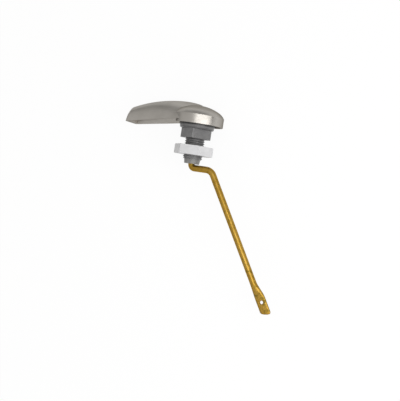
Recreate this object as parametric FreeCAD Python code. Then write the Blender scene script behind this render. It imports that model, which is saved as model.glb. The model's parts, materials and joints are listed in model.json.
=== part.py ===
import FreeCAD, Part
import math
import os

# Side lever for a cistern: a cast handle outside the wall, a bushing clamped in the wall by a nut,
# and a bent rod inside the cistern that is carried by a spindle through the bushing.
# Row frame, in mm: the origin is on the spindle's axis in the plane where the flange meets the wall.
# +Y points into the cistern, +X points along the paddle and +Z is up.
os.makedirs("parts", exist_ok=True)

# Bushing: flange, square block and shank
flange_seat_radius = 16.4
flange_top_radius = 17.8
flange_height = 6.4
square_side = 22.0
square_corner_radius = 1.0
square_height = 9.5
square_turn = 49.5
shank_radius = 9.5
shank_length = 20.2
shank_chamfer = 0.8

# Spindle: a shaft with a shoulder at its inner end and a square at its outer end
shaft_radius = 6.4
shoulder_radius = 8.0
shoulder_end_radius = 7.4
shoulder_length = 4.4
drive_square_side = 8.4
drive_square_length = 6.0
rod_socket_depth = 20.0

# Handle: hub, dome and paddle, heights are measured outwards from the hub's rim
rim_stand_off = 4.1
hub_radius = 25.0
dome_top_height = 18.9
dome_crown_radius = 42.0
dome_shoulder_radius = 14.0
dome_shoulder_inset = 12.0
wall = 2.2
boss_radius = 8.6
hollow_mouth = 12.0
paddle_start = -2.0
paddle_length = 69.9
ridge_peak_x = 13.0
ridge_peak_height = 21.3
ridge_radius_at_hub = 62.0
ridge_radius_at_tip = 126.0
skirt_rise_at_axis = 4.8
skirt_slope = 0.151
paddle_half_width_at_hub = 20.6
paddle_half_width_at_tip = 15.0
shoulder_half_width_at_start = 1.6
shoulder_half_width_at_hub = 7.6
shoulder_half_width_at_tip = 9.6
crown_drop = 1.3
side_bulge = 2.0
tip_corner_radius = 2.6
tip_top_radius = 1.3
tip_last_angle = 84.0
tip_lean_angle = 10.0
top_edge_length = 1.6

# Travel of the handle and its two stops on the flange
turn_travel = 38.0
stop_height = 3.2
stop_inner_radius = 10.6
stop_outer_radius = 15.6
stop_fin_angle = 16.0
stop_block_angle = 22.0
stop_gap_angle = 1.5
stop_middle_direction = 90.0

# Nut
nut_across_flats = 33.8
nut_height = 9.1
nut_from_seat = 16.6
nut_corner_turn = 5.0
nut_chamfer = 1.0

# Rod
rod_radius = 3.175
first_bend_radius = 3.8
second_bend_radius = 8.8
cross_run_from_seat = 38.05
cross_run_length = 20.96
main_run_length = 148.2
main_run_angle = 30.0
flat_length = 33.0
flat_taper_length = 18.0
flat_width = 9.6
flat_thickness = 3.2
flat_crown = 0.12
flat_end_angle = 20.0
flat_corner_radius = 2.0
flat_side_offset = 1.1
flat_side_trim = 0.05
chain_hole_radius = 1.7
chain_hole_end_distance = 12.2

# Screws
handle_screw_radius = 1.9
handle_screw_length = 20.0
handle_screw_head_radius = 2.7
handle_screw_head_height = 2.2
handle_screw_seat_y = 0.0
handle_screw_slot_width = 0.8
handle_screw_slot_depth = 1.0
set_screw_radius = 1.5
set_screw_recess = 0.3
set_screw_slot_width = 0.6
set_screw_slot_depth = 0.8

# Clearances between pieces
running_clearance = 0.05
thread_clearance = 0.06
face_clearance = 0.3
socket_clearance = 0.05
screw_clearance = 0.02

X_AXIS = FreeCAD.Vector(1, 0, 0)
Y_AXIS = FreeCAD.Vector(0, 1, 0)
Z_AXIS = FreeCAD.Vector(0, 0, 1)
ORIGIN = FreeCAD.Vector(0, 0, 0)

# Places that follow from the sizes, as distances along +Y from the seat
rim_y = -rim_stand_off
flange_top_y = -flange_height
shank_end_y = square_height + shank_length
shoulder_start_y = shank_end_y + running_clearance
shoulder_end_y = shoulder_start_y + shoulder_length
shaft_outer_y = flange_top_y - face_clearance
spindle_tip_y = shaft_outer_y - drive_square_length
bore_radius = shaft_radius + running_clearance
rod_socket_end_y = shoulder_end_y - rod_socket_depth
set_screw_y = (shoulder_start_y + shoulder_end_y) / 2
handle_screw_tip_y = handle_screw_seat_y - handle_screw_length


def vec(x, y, z):
    return FreeCAD.Vector(x, y, z)


def cylinder_y(radius, start_y, end_y):
    """A round bar about the Y axis between two places on it."""
    return Part.makeCylinder(radius, end_y - start_y, vec(0, start_y, 0), Y_AXIS)


def cone_y(start_radius, end_radius, start_y, end_y):
    return Part.makeCone(start_radius, end_radius, end_y - start_y, vec(0, start_y, 0), Y_AXIS)


def prism_y(points, start_y, end_y):
    """A straight prism along Y from a closed outline of (x, z) points."""
    corners = [vec(x, start_y, z) for x, z in points]
    face = Part.Face(Part.makePolygon(corners + corners[:1]))
    return face.extrude(vec(0, end_y - start_y, 0))


def regular_points(count, corner_radius, turn):
    angles = [math.radians(turn + 360.0 * k / count) for k in range(count)]
    return [(corner_radius * math.cos(a), corner_radius * math.sin(a)) for a in angles]


def edges_along(shape, direction):
    """The straight edges that run along one direction."""
    found = []
    for edge in shape.Edges:
        if len(edge.Vertexes) == 2:
            run = edge.Vertexes[1].Point - edge.Vertexes[0].Point
            if run.Length > 0.1 and abs(abs(run.normalize().dot(direction)) - 1) < 1e-4:
                found.append(edge)
    return found


def sector_y(inner_radius, outer_radius, middle_angle, angle, start_y, end_y):
    """A ring sector about Y, its middle at an angle in degrees from +X towards +Z."""
    ring = cylinder_y(outer_radius, start_y, end_y).cut(cylinder_y(inner_radius, start_y, end_y))
    reach = outer_radius * 2
    low = math.radians(middle_angle - angle / 2)
    high = math.radians(middle_angle + angle / 2)
    outline = [(0, 0)] + [(reach * math.cos(a), reach * math.sin(a)) for a in (low, high)]
    return ring.common(prism_y(outline, start_y, end_y))


def save(shape, name):
    solids = shape.Solids
    print(name, "solids", len(solids), "volume", round(shape.Volume, 1), "valid", shape.isValid())
    result = solids[0] if len(solids) == 1 else Part.makeCompound(solids)
    result.exportStep(os.path.join("parts", name + ".step"))


# Heights of the handle above its rim plane, worked out along the paddle


def dome_shoulder_centre():
    """Centre of the arc that rolls the dome over into the hub's upright band, as (radius, height)."""
    across = hub_radius - dome_shoulder_inset
    inner = dome_crown_radius - dome_shoulder_radius
    return across, dome_top_height - dome_crown_radius + math.sqrt(inner ** 2 - across ** 2)


def crown_edge_radius():
    """Distance from the hub's axis at which the crown arc passes into the shoulder arc."""
    return dome_shoulder_centre()[0] * dome_crown_radius / (dome_crown_radius - dome_shoulder_radius)


def dome_height(radius):
    """Height of the dome at a distance from the hub's axis."""
    if radius < crown_edge_radius():
        return dome_top_height - dome_crown_radius + math.sqrt(dome_crown_radius ** 2 - radius ** 2)
    across, height = dome_shoulder_centre()
    return height + math.sqrt(dome_shoulder_radius ** 2 - (radius - across) ** 2)


def ridge_height(x):
    radius = ridge_radius_at_hub if x < ridge_peak_x else ridge_radius_at_tip
    return ridge_peak_height - radius + math.sqrt(radius ** 2 - (x - ridge_peak_x) ** 2)


def skirt_height(x):
    return skirt_rise_at_axis - skirt_slope * x


def blend(start, end, share):
    return start + (end - start) * share


def paddle_half_width(x):
    """Half width of the paddle's foot, widest where it leaves the hub."""
    share = (x - hub_radius) / (paddle_length - hub_radius)
    return blend(paddle_half_width_at_hub, paddle_half_width_at_tip, share)


def shoulder_half_width(x):
    """Half width of the crowned top, which starts as a point on the dome and opens out."""
    first_slope = (shoulder_half_width_at_hub - shoulder_half_width_at_start) / (hub_radius - paddle_start)
    next_slope = (shoulder_half_width_at_tip - shoulder_half_width_at_hub) / (paddle_length - hub_radius)
    bend = (next_slope - first_slope) / (paddle_length - paddle_start)
    return shoulder_half_width_at_start + (x - paddle_start) * (first_slope + bend * (x - hub_radius))


def to_row(shape):
    """Turns a shape modelled with its height along Z so that its height runs outwards, along -Y."""
    turned = shape.copy()
    turned.rotate(ORIGIN, X_AXIS, 90)
    turned.translate(vec(0, rim_y, 0))
    return turned


def on_dome(radius):
    return vec(-radius, 0, dome_height(radius))


def hub_solid():
    """The hub as a solid of revolution: a flat rim, an upright band and a dome of two arcs."""
    crown_edge = crown_edge_radius()
    rim = vec(-hub_radius, 0, 0)
    outline = [
        Part.LineSegment(ORIGIN, rim).toShape(),
        Part.LineSegment(rim, on_dome(hub_radius)).toShape(),
        Part.Arc(on_dome(hub_radius), on_dome((hub_radius + crown_edge) / 2), on_dome(crown_edge)).toShape(),
        Part.Arc(on_dome(crown_edge), on_dome(crown_edge / 2), on_dome(0)).toShape(),
        Part.LineSegment(on_dome(0), ORIGIN).toShape(),
    ]
    return Part.Face(Part.Wire(outline)).revolve(ORIGIN, Z_AXIS, 360)


def hub_hollow():
    """The hub's hollow: an upright wall and three slopes that keep at least one wall under the dome."""
    radius = hub_radius - wall
    levels = [vec(-radius * share, 0, dome_height(radius * share) - wall) for share in (1.0, 0.75, 0.45, 0.0)]
    corners = [vec(0, 0, -hollow_mouth), vec(-radius, 0, -hollow_mouth)] + levels
    return Part.Face(Part.makePolygon(corners + corners[:1])).revolve(ORIGIN, Z_AXIS, 360)


def lean_at(x):
    """How far a section leans back for each millimetre of height: least at the hub, most at the tip."""
    share = (x - paddle_start) / (paddle_length - paddle_start)
    return math.tan(math.radians(tip_lean_angle)) * share ** 2


def side_middle(half, foot, top_half, shoulder, bulge):
    """The point half way up a side, pushed outwards by the bulge, as (across, height)."""
    across = half - top_half
    rise = shoulder - foot
    length = math.hypot(across, rise)
    return (half + top_half) / 2 + bulge * rise / length, (foot + shoulder) / 2 + bulge * across / length


def paddle_section(x, narrowing, lowering):
    """A closed outline across the paddle: flat foot, bulged sides, rounded shoulders and a crowned top."""
    foot = skirt_height(x)
    lean = lean_at(x)
    top_x = x - lean * (ridge_height(x) - foot)
    half = paddle_half_width(x) - narrowing
    top_half = shoulder_half_width(top_x) - narrowing
    top = ridge_height(top_x) - lowering
    drop = crown_drop * top_half / shoulder_half_width_at_tip
    shoulder = top - drop
    middle = side_middle(half, foot, top_half, shoulder, side_bulge)
    edge = min(top_edge_length, top_half * 0.5)
    share = edge / math.hypot(middle[0] - top_half, middle[1] - shoulder)
    on_side = (blend(top_half, middle[0], share), blend(shoulder, middle[1], share))
    on_top = (top_half - edge, shoulder + drop * (1 - (1 - edge / top_half) ** 2))
    between = ((on_side[0] + on_top[0]) / 2, (on_side[1] + on_top[1]) / 2)
    rounded = (blend(top_half, between[0], 0.5), blend(shoulder, between[1], 0.5))

    def place(point, side):
        return vec(x - lean * (point[1] - foot), side * point[0], point[1])

    left = [place(point, -1) for point in ((half, foot), middle, on_side, rounded, on_top)]
    right = [place(point, 1) for point in ((half, foot), middle, on_side, rounded, on_top)]
    edges = [
        Part.LineSegment(left[0], right[0]).toShape(),
        Part.Arc(right[0], right[1], right[2]).toShape(),
        Part.Arc(right[2], right[3], right[4]).toShape(),
        Part.Arc(right[4], place((0, top), 1), left[4]).toShape(),
        Part.Arc(left[4], left[3], left[2]).toShape(),
        Part.Arc(left[2], left[1], left[0]).toShape(),
    ]
    return Part.Wire(edges)


def paddle_solid():
    """The paddle's outside: a loft along its length, and a short one that rounds off the tip."""
    tip_start = paddle_length - tip_corner_radius
    stations = 6
    places = [blend(paddle_start, tip_start, k / (stations - 1)) for k in range(stations)]
    body = Part.makeLoft([paddle_section(x, 0.0, 0.0) for x in places], True, False)
    rounding = []
    for k in range(5):
        turn = math.radians(tip_last_angle * k / 4)
        x = tip_start + tip_corner_radius * math.sin(turn)
        fall = 1 - math.cos(turn)
        rounding.append(paddle_section(x, tip_corner_radius * fall, tip_top_radius * fall))
    return body.fuse(Part.makeLoft(rounding, True, False))


def hollow_section(x, narrowing):
    """The hollow's outline across the paddle, in straight lines one wall inside the outside."""
    foot = skirt_height(x)
    lean = lean_at(x)
    half = paddle_half_width(x) - wall - narrowing
    top_x = x - lean * (ridge_height(x) - foot)
    top_half = shoulder_half_width(top_x) - wall / 2 - narrowing
    top = ridge_height(top_x) - crown_drop - wall
    middle = side_middle(half, foot, top_half, top, side_bulge * 0.9)
    outline = [(half, foot - hollow_mouth), (half, foot), middle, (top_half, top)]
    right = [vec(x - lean * (point[1] - foot), point[0], point[1]) for point in outline]
    left = [vec(p.x, -p.y, p.z) for p in reversed(right)]
    return Part.makePolygon(right + left + right[:1])


def paddle_hollow():
    full_end = paddle_length - tip_corner_radius
    places = [boss_radius - 1] + [blend(boss_radius, full_end, share) for share in (0.35, 0.7, 1.0)]
    sections = [hollow_section(x, 0.0) for x in places]
    sections.append(hollow_section(paddle_length - wall, tip_corner_radius / 2))
    return Part.makeLoft(sections, True, True)


def make_handle():
    depth_below_rim = 20.0
    under_hub = Part.makeCylinder(hub_radius, depth_below_rim, vec(0, 0, -depth_below_rim), Z_AXIS)
    outside = hub_solid().fuse(paddle_solid().cut(under_hub)).removeSplitter()
    boss_foot = -shaft_outer_y - rim_stand_off
    boss = Part.makeCylinder(boss_radius, ridge_peak_height, vec(0, 0, boss_foot), Z_AXIS)
    hollow = hub_hollow().fuse(paddle_hollow()).cut(boss)
    shell = to_row(outside.cut(hollow))
    fin = sector_y(boss_radius - 1, stop_outer_radius, stop_middle_direction, stop_fin_angle,
                   shaft_outer_y - stop_height, shaft_outer_y)
    socket_side = drive_square_side + 2 * socket_clearance
    socket = drive_square(socket_side, spindle_tip_y - face_clearance, shaft_outer_y)
    pilot_end_y = handle_screw_tip_y - face_clearance
    pilot = cylinder_y(handle_screw_radius + screw_clearance, pilot_end_y, spindle_tip_y)
    return shell.fuse(fin).cut(socket).cut(pilot)


def drive_square(side, start_y, end_y):
    half = side / 2
    return prism_y([(-half, -half), (half, -half), (half, half), (-half, half)], start_y, end_y)


def make_bushing():
    flange = cone_y(flange_top_radius, flange_seat_radius, flange_top_y, 0)
    corner = square_side / math.sqrt(2)
    block = prism_y(regular_points(4, corner, square_turn + 45), 0, square_height)
    block = block.makeFillet(square_corner_radius, edges_along(block, Y_AXIS))
    shank = cylinder_y(shank_radius, square_height, shank_end_y - shank_chamfer)
    point = cone_y(shank_radius, shank_radius - shank_chamfer, shank_end_y - shank_chamfer, shank_end_y)
    body = flange.fuse([block, shank, point])
    half_span = stop_fin_angle / 2 + stop_gap_angle + stop_block_angle / 2
    for middle in (stop_middle_direction + half_span, stop_middle_direction - turn_travel - half_span):
        stop = sector_y(stop_inner_radius, stop_outer_radius, middle, stop_block_angle,
                        flange_top_y - stop_height, flange_top_y)
        body = body.fuse(stop)
    bore = cylinder_y(bore_radius, flange_top_y - 1, shank_end_y + 1)
    return body.cut(bore).removeSplitter()


def make_spindle():
    shaft = cylinder_y(shaft_radius, shaft_outer_y, shoulder_start_y)
    shoulder = cone_y(shoulder_radius, shoulder_end_radius, shoulder_start_y, shoulder_end_y)
    square = drive_square(drive_square_side, spindle_tip_y, shaft_outer_y)
    body = shaft.fuse([shoulder, square])
    rod_socket = cylinder_y(rod_radius + socket_clearance, rod_socket_end_y, shoulder_end_y)
    head_bore = cylinder_y(handle_screw_head_radius + screw_clearance, handle_screw_seat_y, rod_socket_end_y)
    screw_hole = cylinder_y(handle_screw_radius + screw_clearance, spindle_tip_y, handle_screw_seat_y)
    cross_hole = Part.makeCylinder(set_screw_radius + screw_clearance, shoulder_radius * 2,
                                   vec(0, set_screw_y, 0), -Z_AXIS)
    return body.cut(rod_socket).cut(head_bore).cut(screw_hole).cut(cross_hole)


def make_nut():
    corner = nut_across_flats / math.sqrt(3)
    nut_end = nut_from_seat + nut_height
    prism = prism_y(regular_points(6, corner, nut_corner_turn), nut_from_seat, nut_end)
    low = cone_y(corner - nut_chamfer, corner, nut_from_seat, nut_from_seat + nut_chamfer * 0.6)
    middle = cylinder_y(corner, nut_from_seat + nut_chamfer * 0.6, nut_end - nut_chamfer * 0.6)
    high = cone_y(corner, corner - nut_chamfer, nut_end - nut_chamfer * 0.6, nut_end)
    turned = low.fuse([middle, high])
    prism = prism.makeFillet(0.8, edges_along(prism, Y_AXIS)).common(turned)
    bore = cylinder_y(shank_radius + thread_clearance, nut_from_seat - 1, nut_end + 1)
    return prism.cut(bore)


# The rod's centre line lies in the plane z = 0
run_direction = vec(-math.sin(math.radians(main_run_angle)), math.cos(math.radians(main_run_angle)), 0)
run_side = vec(run_direction.y, -run_direction.x, 0)
second_corner = vec(-cross_run_length, cross_run_from_seat, 0)
rod_end = second_corner + run_direction * main_run_length
flat_start = rod_end - run_direction * flat_length
flat_shift = run_side * -flat_side_offset
flat_end = rod_end + flat_shift


def straight_bar(start, end):
    run = end - start
    return Part.makeCylinder(rod_radius, run.Length, start, run)


def bent_bar(start, direction, centre, angle):
    """A bend of the bar, turned about a centre in the plane z = 0 by an angle in degrees."""
    face = Part.Face(Part.Wire(Part.makeCircle(rod_radius, start, direction)))
    return face.revolve(centre, Z_AXIS, angle)


def bent_rod():
    """The round bar: up the spindle, across, and along the main run as far as its flattened end."""
    first_corner = vec(0, cross_run_from_seat, 0)
    second_turn = 90.0 - main_run_angle
    second_tangent = second_bend_radius * math.tan(math.radians(second_turn / 2))
    first_start = first_corner - Y_AXIS * first_bend_radius
    first_end = first_corner - X_AXIS * first_bend_radius
    second_start = second_corner + X_AXIS * second_tangent
    second_end = second_corner + run_direction * second_tangent
    bar = straight_bar(vec(0, rod_socket_end_y + face_clearance, 0), first_start)
    pieces = [
        bent_bar(first_start, Y_AXIS, first_start - X_AXIS * first_bend_radius, 90),
        straight_bar(first_end, second_start),
        bent_bar(second_start, -X_AXIS, second_start + Y_AXIS * second_bend_radius, -second_turn),
        straight_bar(second_end, flat_start),
    ]
    return bar.fuse(pieces)


def rod_section(at, half_width, half_thickness, flat_half):
    """Four edges: two across the faces and two round the sides, so that a circle blends into a flat."""

    def point(side, up):
        return at + run_side * side + Z_AXIS * up

    corners = [point(-flat_half, half_thickness[1]), point(flat_half, half_thickness[1]),
               point(flat_half, -half_thickness[1]), point(-flat_half, -half_thickness[1])]
    middles = [point(0, half_thickness[0]), point(half_width, 0),
               point(0, -half_thickness[0]), point(-half_width, 0)]
    edges = [Part.Arc(corners[k], middles[k], corners[(k + 1) % 4]).toShape() for k in range(4)]
    return Part.Wire(edges)


def make_rod():
    """The bent bar and its flattened end, which meet at a flat cut so that each stays a simple solid."""
    diagonal = rod_radius * math.sqrt(0.5)
    round_section = rod_section(flat_start, rod_radius, (rod_radius, diagonal), diagonal)
    half = flat_thickness / 2
    plate_start = flat_start + run_direction * flat_taper_length + flat_shift
    flat_section = rod_section(plate_start, flat_width / 2, (half, half - flat_crown), flat_width / 2 - half)
    taper = Part.makeLoft([round_section, flat_section], True, True)
    plate = Part.Face(flat_section).extrude(run_direction * (flat_length - flat_taper_length + flat_width))
    hole_place = flat_end - run_direction * chain_hole_end_distance - Z_AXIS * flat_thickness
    hole = Part.makeCylinder(chain_hole_radius, flat_thickness * 2, hole_place, Z_AXIS)
    flat = taper.fuse(plate).common(flat_plan()).cut(hole)
    return Part.makeCompound([bent_rod(), flat.removeSplitter()])


def flat_plan():
    """A block round the flattened end whose far end is sheared at an angle and has two rounded corners."""
    half = flat_width / 2 - flat_side_trim
    below = Z_AXIS * -flat_width
    shear = run_direction * (half * math.tan(math.radians(flat_end_angle)))
    start = flat_start + flat_shift - run_direction
    corners = [start + run_side * flat_width + below,
               flat_start + run_direction * flat_taper_length + flat_shift + run_side * half + below,
               flat_end + run_side * half - shear + below,
               flat_end - run_side * half + shear + below,
               flat_start + run_direction * flat_taper_length + flat_shift - run_side * half + below,
               start - run_side * flat_width + below]
    block = Part.Face(Part.makePolygon(corners + corners[:1])).extrude(Z_AXIS * (flat_width * 2))
    at_end = [edge for edge in edges_along(block, Z_AXIS)
              if (edge.CenterOfMass - flat_end).dot(run_direction) > -flat_width / 2]
    return block.makeFillet(flat_corner_radius, at_end)


def make_handle_screw():
    shank = cylinder_y(handle_screw_radius, handle_screw_tip_y, handle_screw_seat_y)
    head_end_y = handle_screw_seat_y + handle_screw_head_height
    head = cylinder_y(handle_screw_head_radius, handle_screw_seat_y, head_end_y)
    half = handle_screw_slot_width / 2
    reach = handle_screw_head_radius + 1
    slot_outline = [(-reach, -half), (reach, -half), (reach, half), (-reach, half)]
    slot = prism_y(slot_outline, head_end_y - handle_screw_slot_depth, head_end_y + 1)
    return shank.fuse(head).cut(slot)


def make_set_screw():
    start = rod_radius
    end = (shoulder_radius + shoulder_end_radius) / 2 - set_screw_recess
    body = Part.makeCylinder(set_screw_radius, end - start, vec(0, set_screw_y, -start), -Z_AXIS)
    half = set_screw_slot_width / 2
    slot = Part.makeBox(set_screw_radius * 3, set_screw_slot_width, set_screw_slot_depth + 1,
                        vec(-set_screw_radius * 1.5, set_screw_y - half, -end - 1))
    return body.cut(slot)


save(make_handle(), "handle")
save(make_bushing(), "bushing")
save(make_spindle(), "spindle")
save(make_nut(), "nut")
save(make_rod(), "rod")
save(make_handle_screw(), "handle_screw")
save(make_set_screw(), "set_screw")
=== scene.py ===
# %% [markdown]
# # A cistern's side lever
# A cast handle with a broad paddle sits outside the cistern. A grey plastic bushing is clamped in the
# cistern's square hole by a white nut, and a bent brass rod turns with the handle inside.
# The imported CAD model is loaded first. Every piece below is built in its frame, in metres, so nothing has
# to be fitted by eye afterwards.

# %% Load the fixed frame and keep its box
import json
import math

import bmesh
import bpy
from mathutils import Matrix, Vector


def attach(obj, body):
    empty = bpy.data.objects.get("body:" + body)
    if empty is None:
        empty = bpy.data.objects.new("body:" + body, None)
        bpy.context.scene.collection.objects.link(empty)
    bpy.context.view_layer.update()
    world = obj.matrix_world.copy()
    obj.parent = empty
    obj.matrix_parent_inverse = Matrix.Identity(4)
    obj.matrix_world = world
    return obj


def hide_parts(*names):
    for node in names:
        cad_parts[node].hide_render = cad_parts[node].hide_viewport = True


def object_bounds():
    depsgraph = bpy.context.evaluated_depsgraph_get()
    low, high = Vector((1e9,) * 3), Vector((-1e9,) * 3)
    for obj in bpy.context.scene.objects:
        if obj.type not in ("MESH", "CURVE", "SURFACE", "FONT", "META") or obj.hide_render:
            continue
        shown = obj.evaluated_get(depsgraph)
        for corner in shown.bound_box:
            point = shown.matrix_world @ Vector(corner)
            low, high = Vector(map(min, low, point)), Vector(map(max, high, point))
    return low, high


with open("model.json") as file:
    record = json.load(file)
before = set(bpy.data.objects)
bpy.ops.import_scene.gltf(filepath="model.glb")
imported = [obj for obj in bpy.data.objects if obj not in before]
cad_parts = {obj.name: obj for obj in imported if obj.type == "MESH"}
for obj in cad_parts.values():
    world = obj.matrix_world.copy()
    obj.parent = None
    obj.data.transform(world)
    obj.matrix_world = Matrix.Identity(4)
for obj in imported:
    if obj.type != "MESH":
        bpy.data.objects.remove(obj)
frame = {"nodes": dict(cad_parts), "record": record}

cad_box = [[float(v) for v in corner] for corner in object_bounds()]
nodes = frame["nodes"]
mm = 0.001
print("CAD box in mm:", [[round(v / mm, 1) for v in corner] for corner in cad_box])

# %% [markdown]
# ## The camera
# The photograph looks down on the lever, square to the shank, from 18 degrees to the side of straight above,
# so that the nut and the block show their corners. A matrix with the camera's own right, up and back
# directions puts the picture's axes exactly where they were measured, which a tracking constraint wouldn't.

# %% Camera
right = Vector((-0.9406, -0.148, -0.3056))
up = Vector((0.1408, -0.989, 0.0457))
back = right.cross(up).normalized()
up = back.cross(right).normalized()
right.normalize()
camera_place = Vector((-0.3218, 0.0683, 0.9469))
camera_data = bpy.data.cameras.new("camera")
camera_data.lens = 92.07
camera_data.sensor_width = 36.0
camera_data.clip_start = 0.05
camera_data.clip_end = 20.0
camera = bpy.data.objects.new("camera", camera_data)
bpy.context.scene.collection.objects.link(camera)
turned = Matrix((right, up, back)).transposed().to_4x4()
camera.matrix_world = Matrix.Translation(camera_place) @ turned
bpy.context.scene.camera = camera
bpy.context.scene.view_settings.view_transform = "Standard"
print("camera looks along", [round(v, 3) for v in -back])

# %% [markdown]
# ## Node trees in a script
# Materials, the world and Geometry Nodes are all trees of nodes. Four small helpers build every tree below:
# one adds a node and wires its inputs, one does sums, one maps a range of values to another, and one starts
# an empty material. With them, a tree reads like ordinary sums.


# %% Helpers for node trees
def add_node(tree, kind, inputs=None, **settings):
    """One node with its settings and with numbers, colours or links on its inputs."""
    node = tree.nodes.new(kind)
    for key, value in settings.items():
        setattr(node, key, value)
    for key, value in (inputs or {}).items():
        socket = node.inputs[key]
        if isinstance(value, bpy.types.NodeSocket):
            tree.links.new(value, socket)
        else:
            socket.default_value = value
    return node


def calc(tree, operation, *values):
    return add_node(tree, "ShaderNodeMath", dict(enumerate(values)), operation=operation).outputs[0]


def spread(tree, value, low, high, start=0.35, end=0.65, **settings):
    """Maps start to low and end to high. Unless told otherwise, it takes the middle of a noise's range."""
    inputs = {"Value": value, "From Min": start, "From Max": end, "To Min": low, "To Max": high}
    return add_node(tree, "ShaderNodeMapRange", inputs, **settings).outputs[0]


def empty_material(name):
    material = bpy.data.materials.new(name)
    material.use_nodes = True
    material.node_tree.nodes.clear()
    return material


# %% [markdown]
# ## The floor
# A product photograph stands on white and shows no horizon. The floor could be lit until it turns white, but
# that much light would bleach the lever too. So the floor is pale and matt, which keeps the lever's shadow,
# and most of it glows white, but only for the camera and for reflections. The glow fades with distance, so
# that the metal mirrors a white floor nearby and a greyer one far off.


# %% Floor
def background_rays(tree):
    """1 where the camera, a reflection or a look through glass asks, and 0 for light that bounces."""
    path = add_node(tree, "ShaderNodeLightPath").outputs
    seen = calc(tree, "MAXIMUM", path["Is Camera Ray"], path["Is Glossy Ray"])
    return calc(tree, "MAXIMUM", seen, path["Is Transmission Ray"])


white_reach, grey_reach = 0.45, 1.2
near_share, far_share = 0.93, 0.35


def floor_material():
    material = empty_material("floor_white")
    tree = material.node_tree
    matt = add_node(tree, "ShaderNodeBsdfDiffuse", {"Color": (0.88, 0.88, 0.88, 1)})
    glow = add_node(tree, "ShaderNodeEmission", {"Color": (1, 1, 1, 1), "Strength": 1.0})
    place = add_node(tree, "ShaderNodeTexCoord").outputs["Object"]
    distance = add_node(tree, "ShaderNodeVectorMath", {0: place}, operation="LENGTH").outputs["Value"]
    white = spread(tree, distance, near_share, far_share, white_reach, grey_reach)
    share = calc(tree, "MULTIPLY", background_rays(tree), white)
    mix = add_node(tree, "ShaderNodeMixShader", {0: share, 1: matt.outputs[0], 2: glow.outputs[0]})
    add_node(tree, "ShaderNodeOutputMaterial", {"Surface": mix.outputs[0]})
    return material


floor_level = cad_box[0][2] - 0.5 * mm
floor_reach = 4.0
floor_mesh = bpy.data.meshes.new("floor")
corners = [(x * floor_reach, y * floor_reach, floor_level) for x, y in ((-1, -1), (1, -1), (1, 1), (-1, 1))]
floor_mesh.from_pydata(corners, [], [(0, 1, 2, 3)])
floor_mesh.materials.append(floor_material())
floor = bpy.data.objects.new("floor", floor_mesh)
bpy.context.scene.collection.objects.link(floor)
print("floor at z =", round(floor_level / mm, 1), "mm")

# %% [markdown]
# ## The lights
# Curved metal shows what stands round it, so an even world would make the handle one flat tone. This world
# is grey above and falls off to the horizon, and it is a little darker on the side that the handle's domed
# face looks to. A long softbox beside the camera makes the bright patch on the hub's band. A smaller one
# beyond the rod lights the faces that look into the cistern.

# %% World
world = bpy.data.worlds.new("studio")
world.use_nodes = True
bpy.context.scene.world = world
sky = world.node_tree
sky.nodes.clear()
direction = add_node(sky, "ShaderNodeTexCoord").outputs["Generated"]
toward = add_node(sky, "ShaderNodeSeparateXYZ", {0: direction}).outputs
horizon_level, upper_level, upper_edge = 0.22, 0.73, 0.42
shaded_share, shaded_edge = 0.7, -0.75
level = spread(sky, toward["Z"], horizon_level, upper_level, 0.0, upper_edge)
side = spread(sky, toward["Y"], shaded_share, 1.0, -1.0, shaded_edge)
strength = calc(sky, "MULTIPLY", level, side)
grey = add_node(sky, "ShaderNodeBackground", {"Color": (1.0, 0.99, 0.975, 1), "Strength": strength})
add_node(sky, "ShaderNodeOutputWorld", {"Surface": grey.outputs[0]})
print("world from", horizon_level, "at the horizon to", upper_level, "above")


# %% Softboxes
def softbox(name, place, target, size, power):
    """A rectangular area lamp that faces the target."""
    lamp = bpy.data.lights.new(name, "AREA")
    lamp.shape = "RECTANGLE"
    lamp.size, lamp.size_y = size
    lamp.energy = power
    holder = bpy.data.objects.new(name, lamp)
    place, target = Vector(place), Vector(target)
    aim = (target - place).to_track_quat("-Z", "Y").to_matrix().to_4x4()
    holder.matrix_world = Matrix.Translation(place) @ aim
    bpy.context.scene.collection.objects.link(holder)


hub_centre = (0.0, -0.008, 0.0)
shank_end = (0.0, 0.03, 0.0)
softbox("key_softbox", (-0.54, 0.02, 0.65), hub_centre, size=(0.46, 1.12), power=4.05)
softbox("foot_softbox", (-0.30, 0.75, 0.45), shank_end, size=(0.5, 0.3), power=1.2)

# %% [markdown]
# ## Finishes
# Each finish is a few noise patterns at the scale of the real surface, read from Object coordinates, which
# stay put on a piece whose place is in its mesh. Colour, roughness and bump each get their own pattern,
# because dirt, wear and grain don't follow each other on the real thing. A small rounding of the shading
# normal softens the hard edges that a moulding or casting never has.


# %% Helpers for procedural finishes
def noise(tree, scale_mm, detail=3.0, stretch=(1, 1, 1)):
    """Noise whose grains are about scale_mm across, on Object coordinates."""
    place = add_node(tree, "ShaderNodeTexCoord").outputs["Object"]
    mapped = add_node(tree, "ShaderNodeMapping", {"Vector": place, "Scale": stretch}).outputs[0]
    inputs = {"Vector": mapped, "Scale": 1 / (scale_mm * mm), "Detail": detail}
    return add_node(tree, "ShaderNodeTexNoise", inputs).outputs[0]


def tint(tree, factor, first, second):
    """Mixes two colours, each three numbers or another node's output."""
    colours = [c if isinstance(c, bpy.types.NodeSocket) else (*c, 1) for c in (first, second)]
    mix = add_node(tree, "ShaderNodeMix", {0: factor, 6: colours[0], 7: colours[1]}, data_type="RGBA")
    return mix.outputs[2]


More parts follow.
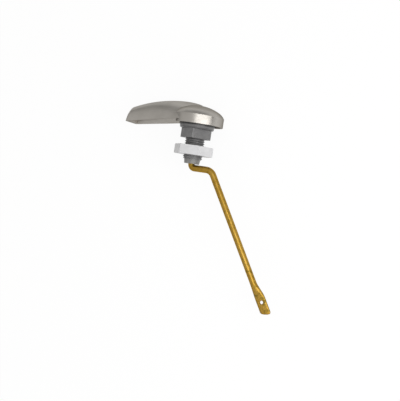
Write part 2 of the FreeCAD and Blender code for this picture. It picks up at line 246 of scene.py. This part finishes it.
def finish_with(material, base, bumps, rounding, **sockets):
    """Ends a finish: a Principled shader with its colour, its bumps and any other socket by name.

    rounding is the radius in mm that the shading gives to edges, and each bump is its pattern, its depth in
    mm and its strength."""
    tree = material.node_tree
    normal = add_node(tree, "ShaderNodeBevel", {"Radius": rounding * mm}, samples=6).outputs[0]
    for pattern, depth_mm, strength in bumps:
        inputs = {"Height": pattern, "Distance": depth_mm * mm, "Strength": strength, "Normal": normal}
        normal = add_node(tree, "ShaderNodeBump", inputs).outputs[0]
    inputs = {"Base Color": base, "Normal": normal}
    for key, value in sockets.items():
        inputs[key.replace("_", " ")] = value
    shader = add_node(tree, "ShaderNodeBsdfPrincipled", inputs)
    add_node(tree, "ShaderNodeOutputMaterial", {"Surface": shader.outputs[0]})
    return material


# %% [markdown]
# ### Satin nickel
# The handle is a zinc casting, brushed along the paddle and then plated, so its shine is soft. Fine lines in
# the bump spread the reflections. A slow change in roughness and in warmth stands for handling.

# %% Satin nickel
nickel_shades = (0.405, 0.385, 0.355), (0.455, 0.435, 0.405)


def satin_nickel():
    material = empty_material("satin_nickel")
    tree = material.node_tree
    tone = spread(tree, noise(tree, 14, 4), 0.0, 1.0)
    base = tint(tree, tone, *nickel_shades)
    rough = spread(tree, noise(tree, 6, 5), 0.31, 0.38)
    brushed = noise(tree, 0.5, 3, stretch=(0.06, 1, 1))
    ripple = noise(tree, 9, 1)
    return finish_with(material, base, [(ripple, 0.03, 0.2), (brushed, 0.008, 0.3)], rounding=0.4,
                       Metallic=1.0, Roughness=rough, Specular_Tint=(0.38, 0.36, 0.33, 1))


nickel = satin_nickel()
print("made", nickel.name)

# %% [markdown]
# ### Plastics
# The bushing and the spindle are moulded from dark grey plastic, and the nut from white. Moulded plastic has
# a faint orange peel and slightly glossier patches where the tool was polished. Shade is painted into the
# bushing's colour in the thread's roots, under the hub's rim and at the flange's foot, and its place is read
# from the distance to the shank's axis and along it.

# %% Where shade is painted on the bushing
# each pair is where a patch is full and where it has faded out, or the other way round
root_radii = 8.75 * mm, 9.35 * mm
root_length = 24 * mm, 26 * mm
rim_gap = -3.6 * mm, -2.4 * mm
foot_rise, foot_fall = (-1.9 * mm, -0.9 * mm), (0.1 * mm, 0.7 * mm)
# shares of the clean colour that the painted shade leaves, and how much of the gap's painted shadow lies at
# the foot
root_shade_share, gap_shade_share, foot_shade_share = 0.55, 0.12, 0.45


def painted_shade_on_bushing(tree, base, plain):
    """Painted shade: darkens the thread's roots but for the shank's end, the gap under the rim and the
    flange's foot.
    """
    place = add_node(tree, "ShaderNodeTexCoord").outputs["Object"]
    across = add_node(tree, "ShaderNodeVectorMath", {0: place, 1: (1, 0, 1)}, operation="MULTIPLY").outputs[0]
    radius = add_node(tree, "ShaderNodeVectorMath", {0: across}, operation="LENGTH").outputs["Value"]
    along = add_node(tree, "ShaderNodeSeparateXYZ", {0: place}).outputs["Y"]
    roots = calc(tree, "MULTIPLY", spread(tree, radius, 1.0, 0.0, *root_radii),
                 spread(tree, along, 1.0, 0.0, *root_length))
    # painted shade: the thread's roots are drawn darker
    base = tint(tree, roots, base, tuple(root_shade_share * value for value in plain))
    # painted shade: the flange's foot is drawn darker
    foot = calc(tree, "MULTIPLY", spread(tree, along, 0.0, foot_shade_share, *foot_rise),
                spread(tree, along, 1.0, 0.0, *foot_fall))
    # painted shadow: the gap under the hub's rim is drawn darker, together with the foot
    gap = calc(tree, "MAXIMUM", spread(tree, along, 1.0, 0.0, *rim_gap), foot)
    return tint(tree, gap, base, tuple(gap_shade_share * value for value in plain))


# %% Moulded plastics
def moulded(name, first, second, rough_low, rough_high, painted_shade=None):
    """A plastic in soft patches of two close colours, with painted shade where a function puts it."""
    material = empty_material(name)
    tree = material.node_tree
    base = tint(tree, spread(tree, noise(tree, 7, 5), 0.0, 1.0), first, second)
    if painted_shade:
        # painted shade, drawn into the colour by the given function
        base = painted_shade(tree, base, first)
    rough = spread(tree, noise(tree, 3, 3), rough_low, rough_high)
    peel = noise(tree, 0.7, 2)
    return finish_with(material, base, [(peel, 0.02, 0.3)], rounding=0.25, Roughness=rough,
                       Specular_IOR_Level=0.6)


# the grey moulding carries painted shade in its roots, under the rim and at the flange's foot
grey_plastic = moulded("grey_moulding", (0.125, 0.124, 0.126), (0.155, 0.153, 0.153), 0.3, 0.42,
                       painted_shade=painted_shade_on_bushing)
dark_plastic = moulded("dark_moulding", (0.16, 0.159, 0.154), (0.19, 0.188, 0.182), 0.26, 0.36)
white_plastic = moulded("white_moulding", (0.56, 0.56, 0.57), (0.61, 0.61, 0.62), 0.36, 0.5)
print("made", grey_plastic.name, dark_plastic.name, white_plastic.name)

# %% [markdown]
# ### Brass rod
# The rod is drawn through a die, which leaves fine lines along it. It is left bare, so it carries darker
# blotches of tarnish, and its pressed end is dented and stained more. The lines and the pressed end follow
# the rod and not the world, so they are read from two attributes that the rod's own tree stores: the length
# along it and the turn around it.

# %% Bare brass
clean_brass = (0.47, 0.29, 0.055), (0.35, 0.205, 0.03)
tarnish = (0.17, 0.125, 0.02)
pressed_part = 158 * mm, 172 * mm
end_wear = 0.07


def bare_brass():
    material = empty_material("bare_brass")
    tree = material.node_tree
    length, turn = [add_node(tree, "ShaderNodeAttribute", attribute_name=name).outputs["Fac"]
                    for name in ("along", "around")]
    blotch = spread(tree, noise(tree, 6, 6), 0.0, 1.0, 0.38, 0.68)
    clean = tint(tree, blotch, *clean_brass)
    pressed = spread(tree, length, 0.0, 1.0, *pressed_part)
    duller = calc(tree, "MULTIPLY_ADD", pressed, end_wear, noise(tree, 3.5, 5))
    stain = spread(tree, duller, 0.0, 0.75, 0.56, 0.70)
    base = tint(tree, stain, clean, tarnish)
    rough = spread(tree, noise(tree, 2.2, 4), 0.30, 0.44)
    dents = calc(tree, "MULTIPLY", pressed, noise(tree, 2.4, 2))
    angle = calc(tree, "MULTIPLY", turn, 2 * math.pi)
    round_x, round_y = calc(tree, "COSINE", angle), calc(tree, "SINE", angle)
    spun = add_node(tree, "ShaderNodeCombineXYZ", {0: round_x, 1: round_y, 2: length}).outputs[0]
    drawn = add_node(tree, "ShaderNodeTexNoise", {"Vector": spun, "Scale": 9.0, "Detail": 4.0}).outputs[0]
    bumps = [(drawn, 0.02, 0.35), (noise(tree, 0.8, 3), 0.012, 0.3), (dents, 0.5, 0.6)]
    return finish_with(material, base, bumps, rounding=0.4, Metallic=1.0, Roughness=rough,
                       Specular_Tint=(0.6, 0.5, 0.3, 1))


brass = bare_brass()
print("made", brass.name)

# %% [markdown]
# ### Steel screws
# Both screws are small and plated with zinc, which leaves a fine, slightly cloudy grain.

# %% Plated steel
steel_shades = (0.50, 0.50, 0.49), (0.60, 0.60, 0.58)


def plated_steel():
    material = empty_material("plated_steel")
    tree = material.node_tree
    base = tint(tree, spread(tree, noise(tree, 1.5, 3), 0.0, 1.0), *steel_shades)
    rough = spread(tree, noise(tree, 0.8, 3), 0.26, 0.4)
    return finish_with(material, base, [(noise(tree, 0.2, 2), 0.005, 0.3)], rounding=0.1, Metallic=1.0,
                       Roughness=rough)


steel = plated_steel()
print("made", steel.name)

# %% [markdown]
# ## Shapes that follow a rule
# A thread and a swept bar are rules rather than shapes, so Geometry Nodes makes them: each tree is built
# here, with a named input for every size, and its result is kept as a plain mesh. A mesh is also checked as
# it is kept: in a closed one, every edge has exactly two faces.


# %% Helpers for meshes
def mesh_object(name, points, edges, faces, material):
    mesh = bpy.data.meshes.new(name)
    mesh.from_pydata(points, edges, faces)
    mesh.materials.append(material)
    obj = bpy.data.objects.new(name, mesh)
    bpy.context.scene.collection.objects.link(obj)
    return obj


def tidy_mesh(mesh, sharp_angle):
    """Turns the normals outward, shades smooth, and keeps the edges sharper than an angle in degrees."""
    work = bmesh.new()
    work.from_mesh(mesh)
    bmesh.ops.recalc_face_normals(work, faces=work.faces)
    open_edges = sum(1 for edge in work.edges if len(edge.link_faces) != 2)
    work.to_mesh(mesh)
    work.free()
    mesh.shade_smooth()
    mesh.set_sharp_from_angle(angle=math.radians(sharp_angle))
    print(mesh.name, "faces", len(mesh.polygons), "open edges", open_edges)


# %% Helpers for Geometry Nodes
def new_tree(name, **inputs):
    """A geometry node tree with one geometry in and out, and a named input for each value."""
    tree = bpy.data.node_groups.new(name, "GeometryNodeTree")
    tree.interface.new_socket("Geometry", in_out="INPUT", socket_type="NodeSocketGeometry")
    tree.interface.new_socket("Geometry", in_out="OUTPUT", socket_type="NodeSocketGeometry")
    kinds = {int: "NodeSocketInt", float: "NodeSocketFloat", tuple: "NodeSocketVector"}
    for key, value in inputs.items():
        kind = kinds.get(type(value), "NodeSocketMaterial")
        tree.interface.new_socket(key, in_out="INPUT", socket_type=kind)
    return tree, tree.nodes.new("NodeGroupInput").outputs


def end_tree(tree, geometry, material):
    """Ends a tree: instances made real, the material set, and the result handed out."""
    real = add_node(tree, "GeometryNodeRealizeInstances", {"Geometry": geometry})
    done = add_node(tree, "GeometryNodeSetMaterial", {"Geometry": real.outputs[0], "Material": material})
    add_node(tree, "NodeGroupOutput", {"Geometry": done.outputs[0]})


def grow(obj, tree, values, sharp_angle):
    """Runs a tree on an object with its inputs set, and keeps the result as the object's plain mesh."""
    modifier = obj.modifiers.new(tree.name, "NODES")
    modifier.node_group = tree
    for item in tree.interface.items_tree:
        if item.in_out == "INPUT" and item.name in values:
            modifier[item.identifier] = values[item.name]
    graph = bpy.context.evaluated_depsgraph_get()
    made = bpy.data.meshes.new_from_object(obj.evaluated_get(graph), depsgraph=graph)
    obj.modifiers.remove(modifier)
    obj.data = made
    tidy_mesh(made, sharp_angle)


def blended(tree, share, first, second):
    """The first number where share is 0 and the second where it is 1."""
    return add_node(tree, "ShaderNodeMix", {0: share, 2: first, 3: second}).outputs[0]


# %% [markdown]
# ## The bushing's head
# The head is a stack of closed outlines with the same number of points, so that a round flange can pass
# into a square block without a stray face. Each outline is a rounded square, or a circle with its points at
# the same angles. Small steps in radius and height between two outlines round the edges.

# %% Outlines of the head
side_points = 18
corner_points = 6
block_half = 11.0
block_corner = 1.0


def rounded_square(half, corner):
    """Points round a square with rounded corners, in mm, from one corner on."""
    points = []
    for quarter in range(4):
        turn = Matrix.Rotation(math.pi / 2 * quarter, 2)
        for k in range(corner_points):
            angle = math.pi / 2 * k / (corner_points - 1)
            reach = half - corner
            points.append(turn @ Vector((reach + corner * math.cos(angle), reach + corner * math.sin(angle))))
        for k in range(1, side_points + 1):
            share = k / (side_points + 1)
            points.append(turn @ Vector(((half - corner) * (1 - 2 * share), half)))
    return points


angles = [math.atan2(p.y, p.x) for p in rounded_square(block_half, block_corner)]


def circle(radius):
    return [Vector((radius * math.cos(a), radius * math.sin(a))) for a in angles]


def square(half):
    return rounded_square(half, block_corner + half - block_half)


print("points in each outline:", len(angles))

# %% The head as a stack of outlines
bore = 6.45
flange_top = -6.4
block_end = 9.5
block_turn = math.radians(49.5)
head_outlines = [
    # the flange's outer face and its rounded edge
    (circle(bore), flange_top), (circle(17.1), flange_top), (circle(17.45), -6.32), (circle(17.65), -6.1),
    # its cone, down to the seat on the cistern's wall
    (circle(17.68), -5.8), (circle(16.5), -0.45), (circle(16.4), -0.15), (circle(16.15), 0.0),
    # the block's foot, sides and rounded end
    (square(11.35), 0.0), (square(11.1), 0.1), (square(block_half), 0.35), (square(block_half), 9.1),
    (square(10.93), 9.33), (square(10.7), block_end),
    # the block's end face, back to the bore
    (circle(9.3), block_end), (circle(bore), block_end),
]
head_turn = Matrix.Rotation(block_turn, 2)
head_points = []
for outline, height_mm in head_outlines:
    for point in outline:
        placed = head_turn @ point
        head_points.append((placed.x * mm, height_mm * mm, placed.y * mm))
around = len(angles)
head_faces = []
for layer in range(len(head_outlines)):
    here = layer * around
    there = (layer + 1) % len(head_outlines) * around
    for k in range(around):
        after = (k + 1) % around
        head_faces.append((here + k, here + after, there + after, there + k))
print("head:", len(head_points), "points and", len(head_faces), "faces")

# %% [markdown]
# ## The stops
# A fin inside the hub runs between two stops on the flange. Each stop is a sector of a ring, and its place
# follows from the fin's half angle, the gap at rest and the handle's travel.

# %% Stops on the flange
stop_inner, stop_outer = 10.6, 15.6
stop_height, stop_sink = 3.2, 0.3
stop_steps = 8


def add_stop(middle, span):
    """A ring sector that stops the handle's fin, sunk a little into the flange. Angles are in degrees."""
    first = len(head_points)
    start, end = flange_top - stop_height, flange_top + stop_sink
    section = (stop_inner, start), (stop_outer, start), (stop_outer, end), (stop_inner, end)
    for k in range(stop_steps + 1):
        a = math.radians(middle - span / 2 + span * k / stop_steps)
        for radius, height_mm in section:
            head_points.append((radius * math.cos(a) * mm, height_mm * mm, radius * math.sin(a) * mm))
    for k in range(stop_steps):
        for side in range(4):
            a, b = first + 4 * k + side, first + 4 * k + (side + 1) % 4
            head_faces.append((a, b, b + 4, a + 4))
    head_faces.append((first, first + 1, first + 2, first + 3))
    head_faces.append(tuple(first + 4 * stop_steps + k for k in (3, 2, 1, 0)))


fin_middle = 90.0
fin_half = 8.0
stop_gap = 1.5
stop_span = 22.0
turn_travel = 38.0
half_span = fin_half + stop_gap + stop_span / 2
for middle in (fin_middle + half_span, fin_middle - turn_travel - half_span):
    add_stop(middle, stop_span)
bushing_sharp_angle = 32
bushing = mesh_object("bushing_moulding", head_points, [], head_faces, grey_plastic)
tidy_mesh(bushing.data, bushing_sharp_angle)

# %% [markdown]
# ## The thread
# The thread could be a profile swept along a helix, but such a sweep leaves loose ends to close. Here it
# starts from one flat grid. Its columns go round the shank and its rows go along it, and each point is moved
# to the radius that the thread's profile asks for there. The last row comes back to the first along the
# bore, so the grid closes into a tube, which is then joined to the head. The pitch is coarse, and the thread
# is left-handed: the nut on a lever like this one tightens against the way that the handle turns.

# %% Sizes of the thread
thread_inputs = {
    "Around": 120, "Rows": 150, "Pitch": 2.1 * mm, "Depth": 0.8 * mm, "Root Share": 0.22, "Crest Share": 0.78,
    "Crest Radius": 9.5 * mm, "Bore Radius": 6.6 * mm, "Start": 9.0 * mm, "End": 29.7 * mm,
    "Chamfer": 0.8 * mm, "Merge": 0.01 * mm, "Material": grey_plastic,
}
print("turns of thread:", round((thread_inputs["End"] - thread_inputs["Start"]) / thread_inputs["Pitch"], 1))


# %% The thread as a tree
def thread_radius(tree, given, along, turn):
    """The thread's radius at a place along the shank and a turn round it, cut down by the end's chamfer."""
    phase = calc(tree, "FRACT", calc(tree, "SUBTRACT", calc(tree, "DIVIDE", along, given["Pitch"]), turn))
    wave = calc(tree, "ABSOLUTE", calc(tree, "SUBTRACT", calc(tree, "MULTIPLY", phase, 2.0), 1.0))
    rise = spread(tree, wave, 0.0, 1.0, given["Root Share"], given["Crest Share"],
                  interpolation_type="SMOOTHSTEP")
    dip = calc(tree, "MULTIPLY", given["Depth"], calc(tree, "SUBTRACT", 1.0, rise))
    thread = calc(tree, "SUBTRACT", given["Crest Radius"], dip)
    to_end = calc(tree, "SUBTRACT", given["End"], along)
    lead_in = calc(tree, "ADD", calc(tree, "SUBTRACT", given["Crest Radius"], given["Chamfer"]), to_end)
    return calc(tree, "MINIMUM", thread, lead_in)


def thread_tree():
    """Row 0 of the grid lies in the bore at the start, the next ones up to Rows carry the thread, one more
    lies in the bore at the end, and the last one falls on row 0."""
    tree, given = new_tree("left_hand_thread", **thread_inputs)
    columns = calc(tree, "ADD", given["Around"], 1)
    rows = calc(tree, "ADD", given["Rows"], 3)
    grid = add_node(tree, "GeometryNodeMeshGrid",
                    {"Size X": 1.0, "Size Y": 1.0, "Vertices X": columns, "Vertices Y": rows})
    position = add_node(tree, "GeometryNodeInputPosition").outputs[0]
    place = add_node(tree, "ShaderNodeSeparateXYZ", {0: position}).outputs
    turn = calc(tree, "ADD", place[0], 0.5)
    last_row = calc(tree, "SUBTRACT", rows, 1)
    row = calc(tree, "ROUND", calc(tree, "MULTIPLY", calc(tree, "ADD", place[1], 0.5), last_row))
    on_top = calc(tree, "DIVIDE", calc(tree, "SUBTRACT", row, 1), calc(tree, "SUBTRACT", given["Rows"], 1))
    limited = calc(tree, "MINIMUM", calc(tree, "MAXIMUM", on_top, 0.0), 1.0)
    is_last = calc(tree, "GREATER_THAN", row, calc(tree, "ADD", given["Rows"], 1.5))
    share = calc(tree, "MULTIPLY", limited, calc(tree, "SUBTRACT", 1.0, is_last))
    after_top = calc(tree, "GREATER_THAN", row, calc(tree, "ADD", given["Rows"], 0.5))
    in_bore = calc(tree, "MAXIMUM", calc(tree, "LESS_THAN", row, 0.5), after_top)
    along = blended(tree, share, given["Start"], given["End"])
    radius = blended(tree, in_bore, thread_radius(tree, given, along, turn), given["Bore Radius"])
    angle = calc(tree, "MULTIPLY", turn, 2 * math.pi)
    moved = add_node(tree, "ShaderNodeCombineXYZ",
                     {0: calc(tree, "MULTIPLY", radius, calc(tree, "COSINE", angle)), 1: along,
                      2: calc(tree, "MULTIPLY", radius, calc(tree, "SINE", angle))})
    tube = add_node(tree, "GeometryNodeSetPosition",
                    {"Geometry": grid.outputs["Mesh"], "Position": moved.outputs[0]})
    closed = add_node(tree, "GeometryNodeMergeByDistance",
                      {"Geometry": tube.outputs[0], "Distance": given["Merge"]})
    joined = add_node(tree, "GeometryNodeMeshBoolean", operation="UNION", solver="EXACT")
    tree.links.new(given["Geometry"], joined.inputs["Mesh 2"])
    tree.links.new(closed.outputs[0], joined.inputs["Mesh 2"])
    joined.inputs["Self Intersection"].default_value = True
    end_tree(tree, joined.outputs[0], given["Material"])
    return tree


grow(bushing, thread_tree(), thread_inputs, bushing_sharp_angle)
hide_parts("bushing")
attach(bushing, "bushing")

# %% [markdown]
# ## The rod
# The rod's centre line is four points. Its corners are filleted, a circle is swept along it, and then one
# rule presses the far end flat: the circle's half width grows while its half thickness shrinks, and a
# superellipse squares the section up, as under a press. The end is sheared off at an angle. The chain hole
# is cut where the record has its mount, so it can't drift from the CAD. One closed cutter, which widens at
# each face, makes the hole and sinks its rims, because a cut with several overlapping ones left open edges.

# %% Sizes of the rod
run_angle = math.radians(30.0)
run_direction = Vector((-math.sin(run_angle), math.cos(run_angle), 0))
run_side = Vector((run_direction.y, -run_direction.x, 0))
rod_start, crank_place, crank_reach = 14.4, 38.05, 20.96
run_corner = Vector((-crank_reach, crank_place, 0)) * mm
run_length = 148.2 * mm
rod_line = [(0, rod_start * mm, 0), (0, crank_place * mm, 0), tuple(run_corner),
            tuple(run_corner + run_direction * run_length)]
chain_hole = next(m for m in frame["record"]["mounts"] if m["name"] == "chain_hole")
rod_inputs = {
    "Bar Radius": 3.175 * mm, "First Bend": 3.8 * mm, "Second Bend": 8.8 * mm, "Bend Points": 24,
    "Step": 0.55 * mm, "Around": 48, "Run Corner": tuple(run_corner), "Run Direction": tuple(run_direction),
    "Run Side": tuple(run_side), "Run Length": run_length, "Flat Start": run_length - 33.0 * mm,
    "Taper": 18.0 * mm, "Half Width": 4.75 * mm, "Half Thickness": 1.6 * mm, "Section Power": 0.42,
    "Side Shift": -1.1 * mm, "Corner Radius": 2.9 * mm, "Edge Radius": 0.45 * mm,
    "Shear": math.tan(math.radians(20.0)), "Shear Length": 9.0 * mm, "Hole Place": tuple(chain_hole["pos_m"]),
    "Hole Radius": chain_hole["dims"]["r_mm"] * mm, "Hole Sides": 40, "Sink": 0.45 * mm, "Material": brass,
}
print("straight run of the rod:", round(run_length / mm, 1), "mm")


# %% The bent bar
def swept_bar(tree, given):
    """A circle swept along the filleted centre line, which stores the length along and the turn around."""
    line = add_node(tree, "GeometryNodeMeshToCurve", {"Mesh": given["Geometry"]})
    index = add_node(tree, "GeometryNodeInputIndex").outputs[0]
    bends = []
    for corner, radius in ((1, given["First Bend"]), (2, given["Second Bend"])):
        chosen = calc(tree, "LESS_THAN", calc(tree, "ABSOLUTE", calc(tree, "SUBTRACT", index, corner)), 0.5)
        bends.append(calc(tree, "MULTIPLY", chosen, radius))
    fillet = add_node(tree, "GeometryNodeFilletCurve",
                      {"Curve": line.outputs[0], "Count": given["Bend Points"],
                       "Radius": calc(tree, "ADD", *bends)}, mode="POLY")
    even = add_node(tree, "GeometryNodeResampleCurve",
                    {"Curve": fillet.outputs[0], "Length": given["Step"]}, mode="LENGTH")
    profile = add_node(tree, "GeometryNodeCurvePrimitiveCircle",
                       {"Resolution": given["Around"], "Radius": given["Bar Radius"]})
    parameter = add_node(tree, "GeometryNodeSplineParameter").outputs
    path = add_node(tree, "GeometryNodeStoreNamedAttribute",
                    {"Geometry": even.outputs[0], "Name": "along", "Value": parameter["Length"]})
    ring = add_node(tree, "GeometryNodeStoreNamedAttribute",
                    {"Geometry": profile.outputs[0], "Name": "around", "Value": parameter["Factor"]})
    tube = add_node(tree, "GeometryNodeCurveToMesh",
                    {"Curve": path.outputs[0], "Profile Curve": ring.outputs[0], "Fill Caps": True})
    return tube.outputs[0]


# %% [markdown]
# ### The pressed end
# Every point of the far end is described by its place along the run, its side of it and its height over it.
# The rule works on those three numbers and then turns them back into a position.


# %% Helpers for the pressed end
def vector_calc(tree, operation, first, second):
    other = "Scale" if operation == "SCALE" else 1
    node = add_node(tree, "ShaderNodeVectorMath", {0: first, other: second}, operation=operation)
    return node.outputs["Value" if operation == "DOT_PRODUCT" else "Vector"]


def end_rounding(tree, along, length, radius):
    """How far a rounded end has curved in at a place: nothing until one radius before the end."""
    past = calc(tree, "MAXIMUM", calc(tree, "SUBTRACT", along, calc(tree, "SUBTRACT", length, radius)), 0.0)
    left = calc(tree, "SUBTRACT", calc(tree, "MULTIPLY", radius, radius), calc(tree, "MULTIPLY", past, past))
    return calc(tree, "SUBTRACT", radius, calc(tree, "SQRT", calc(tree, "MAXIMUM", left, 0.0)))


def signed_power(tree, value, power):
    size = calc(tree, "POWER", calc(tree, "ABSOLUTE", value), power)
    return calc(tree, "MULTIPLY", calc(tree, "SIGN", value), size)


# %% The pressed end
def pressed_end(tree, given, bar, place):
    """Moves the bar's points past the start of the flat to where the press and the shears leave them."""
    from_corner = vector_calc(tree, "SUBTRACT", place, given["Run Corner"])
    along = vector_calc(tree, "DOT_PRODUCT", from_corner, given["Run Direction"])
    aside = vector_calc(tree, "DOT_PRODUCT", from_corner, given["Run Side"])
    height = add_node(tree, "ShaderNodeSeparateXYZ", {0: from_corner}).outputs[2]
    flat_full = calc(tree, "ADD", given["Flat Start"], given["Taper"])
    pressed = spread(tree, along, 0.0, 1.0, given["Flat Start"], flat_full, interpolation_type="SMOOTHSTEP")

    halves = []
    for size, cut_radius in ((given["Half Width"], given["Corner Radius"]),
                             (given["Half Thickness"], given["Edge Radius"])):
        cut = end_rounding(tree, along, given["Run Length"], cut_radius)
        halves.append(calc(tree, "SUBTRACT", blended(tree, pressed, given["Bar Radius"], size), cut))
    angle = calc(tree, "ARCTAN2", height, aside)
    power = blended(tree, pressed, 1.0, given["Section Power"])
    new_aside, new_height = [calc(tree, "MULTIPLY", half, signed_power(tree, calc(tree, wave, angle), power))
                             for half, wave in zip(halves, ("COSINE", "SINE"))]
    shifted = calc(tree, "ADD", new_aside, calc(tree, "MULTIPLY", pressed, given["Side Shift"]))

    shear_start = calc(tree, "SUBTRACT", given["Run Length"], given["Shear Length"])
    sheared = spread(tree, along, 0.0, 1.0, shear_start, given["Run Length"])
    slant = calc(tree, "MULTIPLY", calc(tree, "MULTIPLY", new_aside, given["Shear"]), sheared)
    reach = vector_calc(tree, "SCALE", given["Run Direction"], calc(tree, "SUBTRACT", along, slant))
    on_line = vector_calc(tree, "ADD", given["Run Corner"], reach)
    across = vector_calc(tree, "ADD", on_line, vector_calc(tree, "SCALE", given["Run Side"], shifted))
    upward = add_node(tree, "ShaderNodeCombineXYZ", {2: new_height}).outputs[0]
    moved = vector_calc(tree, "ADD", across, upward)
    in_flat = calc(tree, "GREATER_THAN", along, given["Flat Start"])
    return add_node(tree, "GeometryNodeSetPosition",
                    {"Geometry": bar, "Selection": in_flat, "Position": moved}).outputs[0]


# %% The chain hole's cutter
def reamer(tree, given, place):
    """A cylinder of four rings: the inner two make the hole's throat, and the outer two sink its rims."""
    top = calc(tree, "ADD", given["Half Thickness"], given["Sink"])
    blank = add_node(tree, "GeometryNodeMeshCylinder",
                     {"Vertices": given["Hole Sides"], "Side Segments": 3, "Radius": given["Hole Radius"],
                      "Depth": calc(tree, "MULTIPLY", top, 2.0)})
    spot = add_node(tree, "ShaderNodeSeparateXYZ", {0: place}).outputs
    at_rim = calc(tree, "GREATER_THAN", calc(tree, "ABSOLUTE", spot[2]), given["Half Thickness"])
    rim = calc(tree, "ADD", given["Hole Radius"], calc(tree, "MULTIPLY", given["Sink"], 2.0))
    widened = blended(tree, at_rim, 1.0, calc(tree, "DIVIDE", rim, given["Hole Radius"]))
    throat = calc(tree, "SUBTRACT", given["Half Thickness"], given["Sink"])
    height = calc(tree, "MULTIPLY", calc(tree, "SIGN", spot[2]), blended(tree, at_rim, throat, top))
    x, y = [calc(tree, "MULTIPLY", spot[axis], widened) for axis in (0, 1)]
    ground = add_node(tree, "ShaderNodeCombineXYZ", {0: x, 1: y, 2: height})
    tool = add_node(tree, "GeometryNodeSetPosition",
                    {"Geometry": blank.outputs["Mesh"], "Position": ground.outputs[0]})
    return add_node(tree, "GeometryNodeTransform",
                    {"Geometry": tool.outputs[0], "Translation": given["Hole Place"]}).outputs[0]


# %% The rod as a tree
def rod_tree():
    tree, given = new_tree("pressed_rod", **rod_inputs)
    place = add_node(tree, "GeometryNodeInputPosition").outputs[0]
    shaped = pressed_end(tree, given, swept_bar(tree, given), place)
    cut = add_node(tree, "GeometryNodeMeshBoolean", {"Mesh 1": shaped, "Mesh 2": reamer(tree, given, place)},
                   operation="DIFFERENCE", solver="EXACT")
    end_tree(tree, cut.outputs[0], given["Material"])
    return tree


rod_sharp_angle = 40
rod = mesh_object("brass_rod", rod_line, [(0, 1), (1, 2), (2, 3)], [], brass)
grow(rod, rod_tree(), rod_inputs, rod_sharp_angle)
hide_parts("rod")
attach(rod, "lever")

# %% [markdown]
# ## The pieces that keep the CAD's meshes
# The cast handle, the spindle, the nut and the two screws are drawn finely enough in the CAD, so only their
# finish is added. A material linked to the object leaves the CAD's mesh as it is.


# %% Give the CAD nodes that stay their finish
def dress(node_name, material):
    """Puts a finish on every material slot of a CAD node, without touching its mesh."""
    for slot in nodes[node_name].material_slots:
        slot.link = "OBJECT"
        slot.material = material
    print(node_name, "wears", material.name)


dress("handle", nickel)
dress("spindle", dark_plastic)
dress("nut", white_plastic)
dress("handle_screw", steel)
dress("set_screw", steel)
